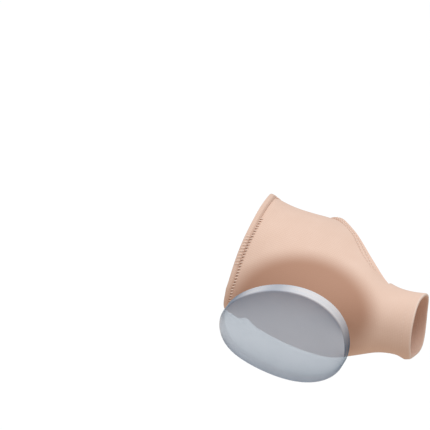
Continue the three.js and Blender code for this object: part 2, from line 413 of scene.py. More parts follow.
def rounded(value, power):
    """The value's sign kept and its size raised to a power: under 1 it makes a circle's section fuller."""
    return np.sign(value) * np.abs(value) ** power


def unit(vectors):
    """Vectors made one long."""
    return vectors / np.linalg.norm(vectors, axis=-1, keepdims=True)


def spun(x, y, angle):
    """Points of a plane turned round its origin by an angle."""
    return x * math.cos(angle) - y * math.sin(angle), x * math.sin(angle) + y * math.cos(angle)


def direction(azimuth, elevation):
    """Unit vector from the object to something at that azimuth and elevation, where azimuth 0 is -Y."""
    level = math.cos(elevation)
    return np.array([math.sin(azimuth) * level, -math.cos(azimuth) * level, math.sin(elevation)])


def sections_at(table, x):
    """A table's columns at each x: cubic steps between rows, each row's slope taken from the rows beside it."""
    at = table[:, 0]
    before = np.vstack([table[:1], table[:-1]])
    after = np.vstack([table[1:], table[-1:]])
    slopes = (after - before) / (after[:, :1] - before[:, :1])
    i = np.clip(np.searchsorted(at, x, side="right") - 1, 0, len(at) - 2)
    span = (at[i + 1] - at[i])[..., None]
    t = (x - at[i])[..., None] / span
    columns = (
        (2 * t**3 - 3 * t**2 + 1) * table[i]
        + (t**3 - 2 * t**2 + t) * span * slopes[i]
        + (3 * t**2 - 2 * t**3) * table[i + 1]
        + (t**3 - t**2) * span * slopes[i + 1]
    )
    return np.moveaxis(columns, -1, 0)[1:]


def forefoot_surface(x, angle):
    """Forefoot form: angle 0 is the medial side, a quarter turn the crown, half a turn the lateral side.

    y swings between the sides with the cosine, and z rises from the waist to the crown and falls to the sole
    with powers of the sine.
    """
    medial, lateral, top, sole, waist, ridge, cant, peak = sections_at(FOREFOOT_SECTIONS, x)
    up = np.maximum(np.sin(angle), 0)
    down = np.maximum(-np.sin(angle), 0)
    middle = (lateral + medial) / 2
    y = middle - (lateral - medial) / 2 * np.cos(angle) - ridge * up**2
    rise = (top - waist) * up**peak - (waist - sole) * down**SOLE_POWER
    return np.stack([x, y, waist + rise - cant * (y - middle)], -1)


def toe_surface(x, angle):
    """Toe form: a slightly full ellipse round the toe tube's centre line, with angle 0 on the medial side."""
    x, angle = np.broadcast_arrays(x, angle)
    middle, height, half_width, half_height = sections_at(TOE_SECTIONS, x)
    y = middle - half_width * rounded(np.cos(angle), TOE_POWER)
    z = height + half_height * rounded(np.sin(angle), TOE_POWER)
    return np.stack([x, y, z], -1)


def sleeve_surface(x, angle):
    """The knit's outer face: the forefoot form, drawn over to the toe form towards the web."""
    x, angle = np.broadcast_arrays(x, angle)
    wrapped = (angle + np.pi) % TURN - np.pi
    beyond = np.maximum(np.abs(wrapped) - WEB_ANGLE, 0)
    medial = np.minimum(np.abs(wrapped), WEB_ANGLE) * TOE_WEB_ANGLE / WEB_ANGLE
    toe_angle = np.sign(wrapped) * np.minimum(medial + beyond, np.pi)
    toe = toe_surface(np.maximum(x, BLEND_START), toe_angle)
    toe[..., 0] = x
    drawn = smooth(x, BLEND_START, WEB_X) * (1 - smooth(beyond, 0, WEB_FALL))
    return forefoot_surface(x, angle) * (1 - drawn[..., None]) + toe * drawn[..., None]


def outward_of(surface, x, angle):
    """Outward unit normal: the cross product of the surface's slopes along x and round the angle."""
    step_x, step_angle = 0.05 * MM, 0.1 * DEG
    along = surface(x + step_x, angle) - surface(x - step_x, angle)
    around = surface(x, angle + step_angle) - surface(x, angle - step_angle)
    return unit(np.cross(along, around))


def lifted(surface, x, angle, height):
    """Points a height off the surface along its normal."""
    x, angle, height = np.broadcast_arrays(x, angle, height)
    return surface(x, angle) + outward_of(surface, x, angle) * height[..., None]


def mouth_x(angle):
    """X of the midfoot mouth's edge, which leans forward at the crown and bends a little up the flank."""
    return MOUTH_LEAN * np.sin(angle) + MOUTH_SKEW * np.cos(angle) + bends(angle, MOUTH_BENDS)


def toe_end_x(angle):
    """X of the toe tube's open end, which leans and is drawn back a little but on its medial side."""
    return TOE_END_X + TOE_END_LEAN * np.sin(angle) + bends(angle, TOE_END_BENDS)


def past_web(angle):
    """How far an angle round the lateral side lies from the nearer end of the web."""
    return np.minimum(angle, TURN - angle) - WEB_ANGLE


def front_edge_x(angle):
    """X of the slanted front edge: straight from the web to the lateral side, drawn back a little at the crown."""
    slant = LATERAL_EDGE_X + (WEB_X - LATERAL_EDGE_X) * (1 + np.cos(angle)) / (1 + math.cos(WEB_ANGLE))
    return slant + bends(angle, EDGE_BENDS) * smooth(past_web(angle), 0, WEB_EASE)


def sole_fold(run, angle):
    """Height that the turned-in cloth adds under the sole: level from the seam, then a step and a dip."""
    dip, middle, spread = SOLE_DIP
    height = SOLE_ROLL * (1 - smooth(run, *SOLE_FOLD)) - dip * hump(run, middle, spread)
    return height * bell_round(angle, SOLE_MIDDLE, SOLE_SPREAD)


def midfoot_seam_shade(angle):
    """How dark the midfoot hem's seam is: full up the flank, a third of that under the sole, softer at the crown."""
    turned = np.abs((angle - SOLE_MIDDLE + np.pi) % TURN - np.pi)
    shade = SEAM_SHADE + OPEN_SEAM_SHADE * smooth(turned, *OPEN_SEAM)
    return shade * (1 - CROWN_SOFTENING * bell_round(angle, CROWN_MIDDLE, CROWN_SPREAD))


def toe_pucker(x, angle):
    """Height of the pucker under the toe tube: one bell along the tube times one round it."""
    return PUCKER_HEIGHT * hump(x, PUCKER_X, PUCKER_LENGTH) * bell_round(angle, PUCKER_ANGLE, PUCKER_SPREAD)


def front_hem_width(angle, width):
    """Width of the front hem, which narrows towards the web."""
    return width * (HEM_END_SHARE + (1 - HEM_END_SHARE) * smooth(past_web(angle), 0, HEM_TAPER))


def front_row_x(angle, row):
    """X of a row of stitches behind the front edge, nearer to it towards the web and further off where it swells."""
    distance, swell = row
    swelled = bends(angle, [swell]) * smooth(past_web(angle), 0, WEB_EASE)
    return front_edge_x(angle) - front_hem_width(angle, distance * MM) - swelled


def front_row_shade(x, angle):
    """1 along the rows of stitches behind the front edge and 0 beside them."""
    rows = [hump(x, front_row_x(angle, row), ROW_WIDTH) for row in FRONT_ROWS]
    return np.maximum(*rows) * smooth(past_web(angle), *ROW_ENDS)


def plate_axes(plate):
    """The gel plate's axes: along the sleeve, up the leaning flank and outwards from its front face."""
    lean_cos, lean_sin = math.cos(plate.lean), math.sin(plate.lean)
    return np.array([(1, 0, 0), (0, -lean_sin, lean_cos), (0, -lean_cos, -lean_sin)])


def plate_reach(plate):
    """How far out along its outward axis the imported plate's back and front faces lie."""
    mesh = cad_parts["gel_pad"].data
    points = np.empty(len(mesh.vertices) * 3)
    mesh.vertices.foreach_get("co", points)
    reach = points.reshape(-1, 3) @ plate_axes(plate)[2]
    return reach.min(), reach.max()


def pressed(points, plate):
    """Points laid flat where they would pass the plate's back: the part beyond it is taken off by a soft step."""
    outward = plate_axes(plate)[2]
    seat = plate_reach(plate)[0] - PLATE_GAP
    beyond = (points @ outward - seat) / PRESS_SOFTNESS
    return points - outward * (PRESS_SOFTNESS * np.logaddexp(0, beyond))[..., None]


def painted_oval_shadow(points):
    """1 inside the painted shadow of the gel plate on the knit and 0 outside: a rolled ellipse in a plane, with a
    soft edge.

    It is weaker towards its lower end, and stops at the crown and under the sole.
    """
    sideways = direction(OVAL_AZIMUTH + np.pi / 2, 0)
    upwards = np.cross(direction(OVAL_AZIMUTH, OVAL_ELEVATION), sideways)
    right, up = points @ sideways - OVAL_RIGHT, points @ upwards - OVAL_UP
    along, rise = spun(right, up, -OVAL_ROLL)
    radius = np.hypot(along / (OVAL_LENGTH / 2), rise / (OVAL_HEIGHT / 2))
    strength = 1 - OVAL_FADE * smooth(-up, 0, OVAL_FADE_DROP)
    near = (1 - smooth(points[..., 1], *OVAL_SIDE_Y)) * smooth(points[..., 2], *OVAL_SOLE_Z)
    return (1 - smooth(radius, *OVAL_SOFT)) * strength * near


def cloth_map(x, sleeve_angle):
    """The knit's own map in metres: wales are counted round the sleeve, and courses along it."""
    return np.stack(np.broadcast_arrays(sleeve_angle / TURN * GIRTH, x), -1)


def sleeve_patches(sleeve, plate):
    """The sleeve's outer face in four patches that meet edge to edge, over a share of its length and an angle.

    The medial patch runs from the mouth to the web and the lateral one to the slanted front edge. The toe patch
    goes on from the medial one, and the bridge closes the toe tube on its lateral side. Each sinks into a groove
    where a hem is sewn on.
    """
    rows = crowded(SLEEVE_ROWS, SLEEVE_CROWD)[:, None]
    toe_rows = crowded(TOE_ROWS, TOE_CROWD)[:, None]
    medial = np.linspace(-WEB_ANGLE, WEB_ANGLE, MEDIAL_COLUMNS)
    lateral = WEB_ANGLE + crowded(LATERAL_COLUMNS, LATERAL_CROWD) * 2 * (np.pi - WEB_ANGLE)
    bridge = np.linspace(TOE_WEB_ANGLE, TURN - TOE_WEB_ANGLE, BRIDGE_COLUMNS)
    made = []

    for angle, end in (
        (medial, np.full(MEDIAL_COLUMNS, WEB_X)),
        (lateral, lateral_end_x(lateral, sleeve.forefoot_hem)),
    ):
        start = mouth_x(angle) + sleeve.midfoot_hem + SEAM_GAP
        x = start + rows * (end - start)
        at_mouth = hump(x, start, GROOVE_WIDTH)
        at_rows = front_row_shade(x, angle)
        height = sole_fold(x - start, angle) - np.maximum(GROOVE_DEPTH * at_mouth, ROW_DEPTH * at_rows)
        points = pressed(lifted(sleeve_surface, x, angle, height), plate)
        shade = np.maximum(at_mouth * midfoot_seam_shade(angle), ROW_SHADE * at_rows)
        made.append(patch(points, cloth_map(x, angle), shade, painted_oval_shadow(points)))

    for angle, sleeve_angle in (
        (medial * TOE_WEB_ANGLE / WEB_ANGLE, medial),
        (bridge, WEB_ANGLE + (bridge - TOE_WEB_ANGLE) / 2),
    ):
        end = toe_end_x(angle) - sleeve.toe_hem + FLUSH_TUCK
        x = WEB_X + toe_rows * (end - WEB_X)
        shade = FLUSH_GROOVE_SHARE * hump(x, end, GROOVE_WIDTH) * np.ones_like(angle)
        height = toe_pucker(x, angle) - GROOVE_DEPTH * shade
        points = pressed(lifted(toe_surface, x, angle, height), plate)
        made.append(patch(points, cloth_map(x, sleeve_angle), shade, painted_oval_shadow(points)))
    return made


def lateral_end_x(angle, hem):
    """X where the sleeve ends over the front hem: at the web its edge, elsewhere nearly a hem's width behind it."""
    clear = smooth(past_web(angle), 0, SLEEVE_EASE)
    return front_edge_x(angle) - (front_hem_width(angle, hem) - FLUSH_TUCK) * clear


def band(surface, angle, edge, width, heights, relief, sleeve_angle=None):
    """A hem: a rounded slab section carried round an opening.

    edge is X of its first side and width runs on from there. heights are its lower and upper face off the
    surface. The section is a square-cornered ellipse, |u|^5 + |v|^5 = 1, where u runs across the width as a
    cosine. relief(share across) gives a height that is added on the upper face, and its shade.
    """
    turned = np.linspace(np.pi, -np.pi, PROFILE_ROWS)[:, None]
    across = 0.5 + 0.5 * np.cos(turned)
    square = HEM_SQUARENESS
    bulge = np.sign(np.sin(turned)) * (1 - np.abs(np.cos(turned)) ** square) ** (1 / square)
    lower, upper = heights
    level = (lower + upper) / 2 + (upper - lower) / 2 * bulge
    x = edge + across * width
    added, shade = relief(across)
    points = lifted(surface, x, angle, level + np.maximum(bulge, 0) * added)
    cloth = cloth_map(x, angle if sleeve_angle is None else sleeve_angle)
    return patch(points, cloth, shade * smooth(bulge, *UPPER_FACE))


def midfoot_band(sleeve):
    """The midfoot hem: a soft roll that sinks into its seam, higher at the crown and thick under the sole."""
    angle = np.linspace(-np.pi / 2, 3 * np.pi / 2, RING_COLUMNS)

    def relief(across):
        crown = bell_round(angle, CROWN_MIDDLE, CROWN_SPREAD)
        under = sole_fold(0, angle) * (1 - (1 - across) ** SOLE_RISE_POWER)
        wrapped = 1 - smooth(np.abs(angle - WRAP_MIDDLE) / WRAP_SPREAD, *WRAP_ENDS)
        inner = smooth(across, *ROLL_SINKS)
        height = crown * CROWN_ROLL * np.sin(np.pi * across) + under
        shade = ROLL_SHADE + WRAP_SHADE * wrapped + ROLL_SEAM_SHADE * inner**2 * midfoot_seam_shade(angle)
        return height - sleeve.midfoot_proud * inner, shade

    heights = (-sleeve.wall - sleeve.midfoot_proud, sleeve.midfoot_proud)
    return [band(sleeve_surface, angle, mouth_x(angle), sleeve.midfoot_hem, heights, relief)]


def forefoot_band(sleeve):
    """The front hem, rolled along its edge, and the binding that closes its loop round the web."""
    angle = np.linspace(WEB_ANGLE, TURN - WEB_ANGLE, RING_COLUMNS)
    ends = np.sqrt(np.clip(past_web(angle) / END_CAP, 0, 1))
    width = front_hem_width(angle, sleeve.forefoot_hem) * ends

    def relief(across):
        rolled = hump(across, 1 - EDGE_ROLL_SHARE, EDGE_ROLL_SHARE)
        at_rows = front_row_shade(front_edge_x(angle) - width * (1 - across), angle)
        painted_highlight, highlight_width = FRONT_HIGHLIGHT
        # painted highlight along the rolled edge, carried as a shade below 0
        shade = ROW_SHADE * at_rows - painted_highlight * hump(across, 1, highlight_width)
        return (EDGE_ROLL * rolled - ROW_DEPTH * at_rows + bends(angle, FRONT_BUMP)) * ends, shade * ends

    heights = (-(sleeve.wall + sleeve.front_proud) * ends, sleeve.front_proud * ends)
    hem = band(sleeve_surface, angle, front_edge_x(angle) - width, width, heights, relief)

    web = np.linspace(TOE_WEB_ANGLE, TURN - TOE_WEB_ANGLE, BRIDGE_COLUMNS)
    near = np.minimum(web, TURN - web) - TOE_WEB_ANGLE
    radius = WEB_BINDING * np.sqrt(np.clip(near / BINDING_CAP, 0, 1))
    round_cord = np.linspace(0, TURN, PROFILE_ROWS)[:, None]
    height = radius * np.cos(round_cord) - sleeve.wall / 2 * radius / WEB_BINDING
    x = WEB_X + radius * np.sin(round_cord)
    binding = patch(lifted(toe_surface, x, web, height), cloth_map(x, web))
    return [hem, binding]


def toe_band(sleeve):
    """The toe hem, nearly flush with the knit, rolled at its edge and puckered where the seam under it ends."""
    angle = np.linspace(-np.pi, np.pi, RING_COLUMNS)
    edge = toe_end_x(angle) - sleeve.toe_hem

    def relief(across):
        rolled = hump(across, 1 - EDGE_ROLL_SHARE, EDGE_ROLL_SHARE)
        bump = toe_pucker(edge + across * sleeve.toe_hem, angle)
        gathers = GATHER_SHADE * bump / PUCKER_HEIGHT * np.cos(angle * GATHERS)
        painted_highlight, highlight_width = TOE_HIGHLIGHT
        # painted highlight along the rolled edge, carried as a shade below 0
        return TOE_EDGE_ROLL * rolled + bump, np.clip(gathers, 0, 1) - painted_highlight * hump(across, 1, highlight_width)

    heights = (-sleeve.wall - sleeve.toe_proud, sleeve.toe_proud)
    return [band(toe_surface, angle, edge, sleeve.toe_hem, heights, relief, angle * WEB_ANGLE / TOE_WEB_ANGLE)]


def even_angles(line, first, last, pitch):
    """Angles at even steps of about a pitch along a line of points given by angle."""
    fine = np.linspace(first, last, FINE_STEPS)
    steps = np.linalg.norm(np.diff(line(fine), axis=0), axis=1)
    run = np.concatenate([[0], np.cumsum(steps)])
    count = int(run[-1] / pitch)
    return np.interp((np.arange(count) + 0.5) * run[-1] / count, run, fine)


def stitches(surface, x, angle, height, along, reach, thread):
    """A stack of stitches, each a bar of thread that arches out of the cloth and dives in at both ends.

    The share along a bar runs from -1 to 1. Its radius is the thread's times the root of 1 - share^4, and it sinks
    by the thread's diameter times the share squared.
    """
    middles, outward = lifted(surface, x, angle, height), outward_of(surface, x, angle)
    run = np.linspace(-1, 1, STITCH_ROWS)[:, None]
    turned = np.linspace(0, TURN, STITCH_ROWS)
    radius = thread / 2 * np.sqrt(np.maximum(1 - run**4, 0))
    across = unit(np.cross(along, outward))

    def carried(vectors, amount):
        return vectors[:, None, None, :] * np.broadcast_to(amount, (STITCH_ROWS, STITCH_ROWS))[..., None]

    sunk = radius * np.sin(turned) - thread * run**2
    points = middles[:, None, None, :] + carried(unit(along), run * reach / 2)
    points = points + carried(outward, sunk) + carried(across, radius * np.cos(turned))
    cloth = np.stack(np.broadcast_arrays(turned / TURN, run * reach / 2), -1)
    return patch(points, np.broadcast_to(cloth, (len(middles), *cloth.shape)))


def midfoot_stitches(sleeve):
    """Rungs of the stitch that sews the midfoot hem down, all round but for the rolled crown.

    On the flank some of them go on as wraps right over the roll.
    """
    bare = BARE_CROWN * CROWN_SPREAD
    first, last = CROWN_MIDDLE + bare, CROWN_MIDDLE + TURN - bare

    def row_x(angle):
        return mouth_x(angle) + sleeve.midfoot_hem + RUNG_SHIFT * RUNG_LENGTH

    def slanted(x, angle):
        along = sleeve_surface(x + MM, angle) - sleeve_surface(x - MM, angle)
        around = sleeve_surface(x, angle + ANGLE_STEP) - sleeve_surface(x, angle - ANGLE_STEP)
        return unit(unit(along) + STITCH_SLANT * unit(around))

    angle = even_angles(lambda a: sleeve_surface(row_x(a), a), first, last, sleeve.stitch_pitch)
    x = row_x(angle)
    height = RUNG_LIFT + sole_fold(0, angle)
    along = slanted(x, angle) - RUNG_DIP * outward_of(sleeve_surface, x, angle)
    rungs = stitches(sleeve_surface, x, angle, height, along, RUNG_LENGTH, sleeve.thread)

    over = angle[np.abs(angle - TURN - WRAP_MIDDLE) < WRAP_SPREAD]
    x = mouth_x(over) + sleeve.midfoot_hem / 2
    reach = WRAP_LENGTH * sleeve.midfoot_hem
    wraps = stitches(sleeve_surface, x, over, sleeve.midfoot_proud, slanted(x, over), reach, sleeve.thread)
    return [rungs, wraps]


def forefoot_stitches(sleeve):
    """Two rows of running stitches behind the front edge, which draw together towards the web."""
    pitch = FRONT_PITCH * sleeve.stitch_pitch
    made = []
    for place in FRONT_ROWS:

        def row(angle, place=place):
            return sleeve_surface(front_row_x(angle, place), angle)

        angle = even_angles(row, WEB_ANGLE + WEB_EASE, TURN - WEB_ANGLE - WEB_EASE, pitch)
        x = front_row_x(angle, place)
        inside = x - front_edge_x(angle) + front_hem_width(angle, sleeve.forefoot_hem)
        height = FRONT_LIFT + bends(angle, FRONT_BUMP) * smooth(inside, 0, BUMP_EASE)
        along = row(angle + ANGLE_STEP) - row(angle - ANGLE_STEP)
        made.append(stitches(sleeve_surface, x, angle, height, along, FRONT_STITCH * pitch, sleeve.thread))
    return made


def toe_stitches(sleeve):
    """One row of running stitches along the inner side of the toe hem."""

    def row_x(angle):
        return toe_end_x(angle) - sleeve.toe_hem

    def row(angle):
        return toe_surface(row_x(angle), angle)

    pitch = TOE_PITCH * sleeve.stitch_pitch
    angle = even_angles(row, -np.pi, np.pi, pitch)
    x = row_x(angle)
    height = toe_pucker(x, angle) - TOE_SINK
    along = row(angle + ANGLE_STEP) - row(angle - ANGLE_STEP)
    return [stitches(toe_surface, x, angle, height, along, TOE_STITCH * pitch, TOE_THREAD * sleeve.thread)]


def plate_patches(plate):
    """The gel plate: its egg outline filled from the middle on the front, carried over the rim and filled again.

    The outline is x = a cos t and y = b sin t (1 + egg cos t), fuller below, rolled in its plane and swelled by
    bells. The rounded edges set it in along its normal by the rounding's radius less that times a sine, and rings
    scale it down to the middle. The margin's painted shade is a power of how near a point lies to the upper or lower
    edge straight above or below it, and the rim's painted shade follows bells round the outline.
    """
    t = np.linspace(0, TURN, PLATE_COLUMNS)
    belly = 1 + plate.belly * smooth(-np.sin(t), 0, BELLY_TURN)
    x = plate.length / 2 * np.cos(t)
    y = plate.height / 2 * np.sin(t) * (1 + plate.egg * np.cos(t)) * belly
    outline = np.stack(spun(x, y, plate.roll), -1) * (1 + bends(t, PLATE_SWELLS, 1))[:, None]
    slope = np.gradient(outline[:-1], axis=0)
    slope[0], slope[-1] = outline[1] - outline[-2], outline[-1] - outline[-3]
    normal = unit(np.stack([slope[:, 1], -slope[:, 0]], -1))
    normal = np.vstack([normal, normal[:1]])

    back, front = plate_reach(plate)
    corner = np.linspace(0, np.pi / 2, CORNER_ROWS)
    inset = plate.bevel * (1 - np.sin(corner))
    depth = plate.bevel * (1 - np.cos(corner))
    rim_inset = np.concatenate([inset, inset[::-1]])[:, None, None]
    rim_out = np.concatenate([front - depth, back + depth[::-1]])[:, None, None]
    rings = np.linspace(0, 1, PLATE_RINGS)[:, None, None]
    face = rings * (outline - plate.bevel * normal)

    along, rise, outward = plate_axes(plate)

    def placed(flat, out):
        middle = along * plate.along + rise * plate.up_flank + out * outward
        return middle + flat[..., :1] * along + flat[..., 1:] * rise

    upper = smooth(np.sin(t), *UPPER_TURN)
    ring = rings[..., 0]
    edgeward = ring * np.abs(np.sin(t)) / np.sqrt(np.maximum(1 - (ring * np.cos(t)) ** 2, MARGIN_FLOOR))
    margin = edgeward**MARGIN_POWER * (1 - UPPER_MARGIN_LOSS * upper)
    bevel_row = np.linspace(0, 1, CORNER_ROWS)[:, None]
    # painted shade along the front bevel, weaker on the upper half, fading to none at the wall
    edge_margin = margin[-1] * (1 - bevel_row)
    run = np.concatenate([[0], np.cumsum(np.linalg.norm(np.diff(outline, axis=0), axis=1))])
    rim = placed(outline - rim_inset * normal, rim_out)
    rim_map = np.stack(np.broadcast_arrays(run, front - rim_out[..., 0]), -1)
    # painted shade round the rim, as bells along its outline
    dim = bends(t, RIM_SHADE, 1)
    last = CORNER_ROWS - 1
    return [
        patch(placed(face, front), shade=margin, tint=dim),
        patch(rim[:CORNER_ROWS], rim_map[:CORNER_ROWS], edge_margin, dim, slot=1),
        patch(rim[last:], rim_map[last:], 0, dim, slot=1),
        patch(placed(face[::-1], back), shade=margin[::-1], tint=dim, slot=2),
    ]


def mesh_piece(piece_name, patches, materials):
    """One object from patches, each a grid with quads between its rows and columns, welded where they meet."""
    points, quads, cloth, slots = [], [], [], []
    count = 0
    for part in patches:
        number = count + np.arange(part.points[..., 0].size).reshape(part.points.shape[:-1])
        corners = (number[..., :-1, :-1], number[..., 1:, :-1], number[..., 1:, 1:], number[..., :-1, 1:])
        made = np.stack(corners, -1).reshape(-1, 4)
        points.append(part.points.reshape(-1, 3))
        cloth.append(part.cloth.reshape(-1, 2))
        quads.append(made)
        slots.append(np.full(len(made), part.slot))
        count += number.size
    quads = np.concatenate(quads)
    mesh = bpy.data.meshes.new(piece_name)
    mesh.from_pydata(np.concatenate(points).tolist(), [], quads.tolist())
    mesh.uv_layers.new(name="cloth").uv.foreach_set("vector", np.concatenate(cloth)[quads.ravel()].ravel())
    for name in ("shade", "tint"):
        values = np.concatenate([getattr(part, name).ravel() for part in patches])
        mesh.attributes.new(name, "FLOAT", "POINT").data.foreach_set("value", values)
    for material in materials:
        mesh.materials.append(material)
    mesh.polygons.foreach_set("material_index", np.concatenate(slots))
    shell = bmesh.new()
    shell.from_mesh(mesh)
    bmesh.ops.remove_doubles(shell, verts=shell.verts, dist=WELD)
    shell.to_mesh(mesh)
    shell.free()
    mesh.shade_smooth()
    made = bpy.data.objects.new(piece_name, mesh)
    bpy.context.scene.collection.objects.link(made)
    return made


def dress(piece, slot, *nodes):
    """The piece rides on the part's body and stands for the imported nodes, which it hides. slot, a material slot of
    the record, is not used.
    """
    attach(piece, BODY)
    if nodes:
        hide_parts(*nodes)
    return piece


def add_node(tree, kind, out=0, **values):
    """Adds a node and returns one of its outputs, if it has any.

    A value with a lower-case name is a setting. The others are inputs, by number or by name with underscores for
    spaces, and get a number, a colour or a link.
    """
    made = tree.nodes.new("ShaderNode" + kind)
    for key, value in values.items():
        if key.islower():
            setattr(made, key, value)
            continue
        name = key.replace("_", " ").strip()
        socket = made.inputs[int(name)] if name.isdigit() else made.inputs[name]
        if isinstance(value, bpy.types.NodeSocket):
            tree.links.new(value, socket)
        else:
            socket.default_value = value
    return made.outputs[out] if made.outputs else None


def made_material(name, shader, *values):
    """A material that is made once: shader adds nodes to its empty tree and returns what its surface shows."""
    material = bpy.data.materials.get(name)
    if material is None:
        material = bpy.data.materials.new(name)
        material.use_nodes = True
        material.node_tree.nodes.clear()
        add = partial(add_node, material.node_tree)
        add("OutputMaterial", Surface=shader(add, *values))
    return material


def jersey(add, sleeve, colours):
    """Nylon and elastane jersey, knitted and drawn taut: matte, with fine columns of loops and a soft bloom.

    Round a wale the leg of a loop leans to its border, and the loops stack along it as a sine. The wales are drawn
    about twice as coarse as the real ones, so that they show.
    """
    axes = add("SeparateXYZ", Vector=add("UVMap", uv_map="cloth")).node.outputs
    wales = add("Math", operation="DIVIDE", _0=axes["X"], _1=sleeve.wale)
    leg = add("Math", operation="PINGPONG", _0=wales, _1=0.5)
    courses = add("Math", operation="DIVIDE", _0=axes["Y"], _1=sleeve.course)
    lean = add("Math", operation="MULTIPLY_ADD", _0=leg, _1=LOOP_LEAN, _2=courses)
    phase = add("Math", operation="MULTIPLY", _0=lean, _1=TURN)
    wave = add("Math", operation="SINE", _0=phase)
    loops = add("Math", operation="MULTIPLY_ADD", _0=wave, _1=LOOP_WAVE, _2=leg)

    place = add("TexCoord", out="Object")
    mottle = add("TexNoise", out="Fac", Vector=place, Scale=1 / MOTTLE_SIZE, Detail=3.0)
    fuzz = add("TexNoise", out="Fac", Vector=place, Scale=1 / FUZZ_SIZE, Detail=2.0)
    depth = add("Math", operation="MULTIPLY_ADD", _0=fuzz, _1=FUZZ_SHARE, _2=loops)
    blotched = add("Math", operation="MULTIPLY_ADD", _0=mottle, _1=MOTTLE_SHARE, _2=depth)
    shade = add("MapRange", Value=blotched, From_Min=0.2, From_Max=1.3, To_Min=0.5, To_Max=0.0)

    # painted shade between the loops of the knit
    base = add("Mix", **COLOURED, _0=shade, _6=colours.knit, _7=colours.knit_gaps)
    # painted shadow of the gel plate, which darkens the knit inside the oval
    oval_shadow = add("Attribute", out="Fac", attribute_name="tint")
    over = add("Mix", **COLOURED, _0=oval_shadow, _6=base, _7=colours.oval_shadow)
    seam = add("Attribute", out="Fac", attribute_name="shade")
    sunk = add("Math", operation="MULTIPLY", _0=seam, _1=SEAM_STRENGTH)
    sewn = add("Mix", **COLOURED, _0=sunk, _6=over, _7=colours.seam)
    # painted highlight along the hems' rolled edges, where the shade is below 0
    highlighted = add("Math", operation="MULTIPLY", _0=seam, _1=-1.0)
    face = add("Mix", **COLOURED, _0=highlighted, _6=sewn, _7=colours.edge_highlight)

    bump = add("Bump", Height=depth, Strength=0.25, Distance=0.15 * MM)
    rough = add("MapRange", Value=fuzz, To_Min=0.75, To_Max=0.95)
    return add("BsdfPrincipled", Base_Color=face, Roughness=rough, Normal=bump, Sheen_Weight=0.12,
               Sheen_Roughness=0.5, Specular_IOR_Level=0.25)


def spun_thread(add, colours):
    """Spun polyester sewing thread: matte, with a twist that shows as slanted lines."""
    axes = add("SeparateXYZ", Vector=add("UVMap", uv_map="cloth")).node.outputs
    run = add("Math", operation="DIVIDE", _0=axes["Y"], _1=TWIST_LENGTH)
    twist = add("Math", operation="ADD", _0=run, _1=axes["X"])
    plies = add("Math", operation="PINGPONG", _0=twist, _1=0.5)
    shade = add("MapRange", Value=plies, From_Max=0.5, To_Min=0.35, To_Max=0.0)
    # painted shade in the grooves of the twist, in the colour of the knit's gaps
    base = add("Mix", **COLOURED, _0=shade, _6=colours.thread, _7=colours.knit_gaps)
    bump = add("Bump", Height=plies, Strength=0.4, Distance=0.08 * MM)
    return add("BsdfPrincipled", Base_Color=base, Roughness=0.7, Normal=bump)


def gel(add, solid, colours):
    """Soft thermoplastic gel, moulded: cloudy blue-grey that lets the knit show through, with painted shade that
    makes it greyer at its margin.

    It is glossy. Its front face carries most of the cloudiness, and its back is nearly clear.
    """
    place = add("TexCoord", out="Object")
    cloud = add("TexNoise", out="Fac", Vector=place, Scale=1 / CLOUD_SIZE, Detail=2.0)
    margin = add("Attribute", out="Fac", attribute_name="shade")
    mixed = add("Math", operation="MULTIPLY_ADD", _0=cloud, _1=CLOUD_SHARE, _2=margin)
    shade = add("MapRange", Value=mixed, From_Min=0.06, From_Max=1.08)
    base = add("Mix", **COLOURED, _0=shade, _6=colours.gel, _7=colours.gel_margin_shade)
    peel = add("TexNoise", out="Fac", Vector=place, Scale=1 / PEEL_SIZE, Detail=1.0)
    rough = add("MapRange", Value=peel, To_Min=0.16, To_Max=0.28)
    bump = add("Bump", Height=peel, Strength=0.04, Distance=0.1 * MM)
    return add("BsdfPrincipled", Base_Color=base, Roughness=rough, Normal=bump, IOR=1.45, Alpha=solid)


def gel_rim(add, colours):
    """The same gel seen edge on, with painted sheen that makes it much paler and silvery, and long faint lines round
    it: painted streaks of reflection in its colour, and a faint relief in its bump.
    """
    along, across = RIM_STREAKS
    drawn = add("Mapping", Vector=add("UVMap", uv_map="cloth"), Scale=(1 / along, 1 / across, 1))
    lines = add("TexNoise", out="Fac", Vector=drawn, Scale=1.0, Detail=2.0)
    shade = add("MapRange", Value=lines, From_Min=0.3, From_Max=0.7, To_Max=0.4)
    # painted sheen, broken by painted reflection streaks in the gel's own colour
    painted_highlight = add("Mix", **COLOURED, _0=shade, _6=colours.gel_rim, _7=colours.gel)
    # painted shade of the rim at its toe end and along its top
    dim = add("Attribute", out="Fac", attribute_name="tint")
    ends = add("Mix", **COLOURED, _0=dim, _6=painted_highlight, _7=colours.rim_shade)
    # painted shade of the gel's margin along the front bevel
    margin = add("Attribute", out="Fac", attribute_name="shade")
    base = add("Mix", **COLOURED, _0=margin, _6=ends, _7=colours.gel_margin_shade)
    bump = add("Bump", Height=lines, Strength=0.05, Distance=0.1 * MM)
    return add("BsdfPrincipled", Base_Color=base, Roughness=0.4, Normal=bump, Specular_IOR_Level=0.1,
               Alpha=colours.rim_solid)


def matte_paper(add, colours):
    """Matte paper with a faint glow, which keeps it even behind the part."""
    return add("BsdfPrincipled", Base_Color=colours.floor, Roughness=0.95, Emission_Color=colours.floor,
               Emission_Strength=PAPER_GLOW)


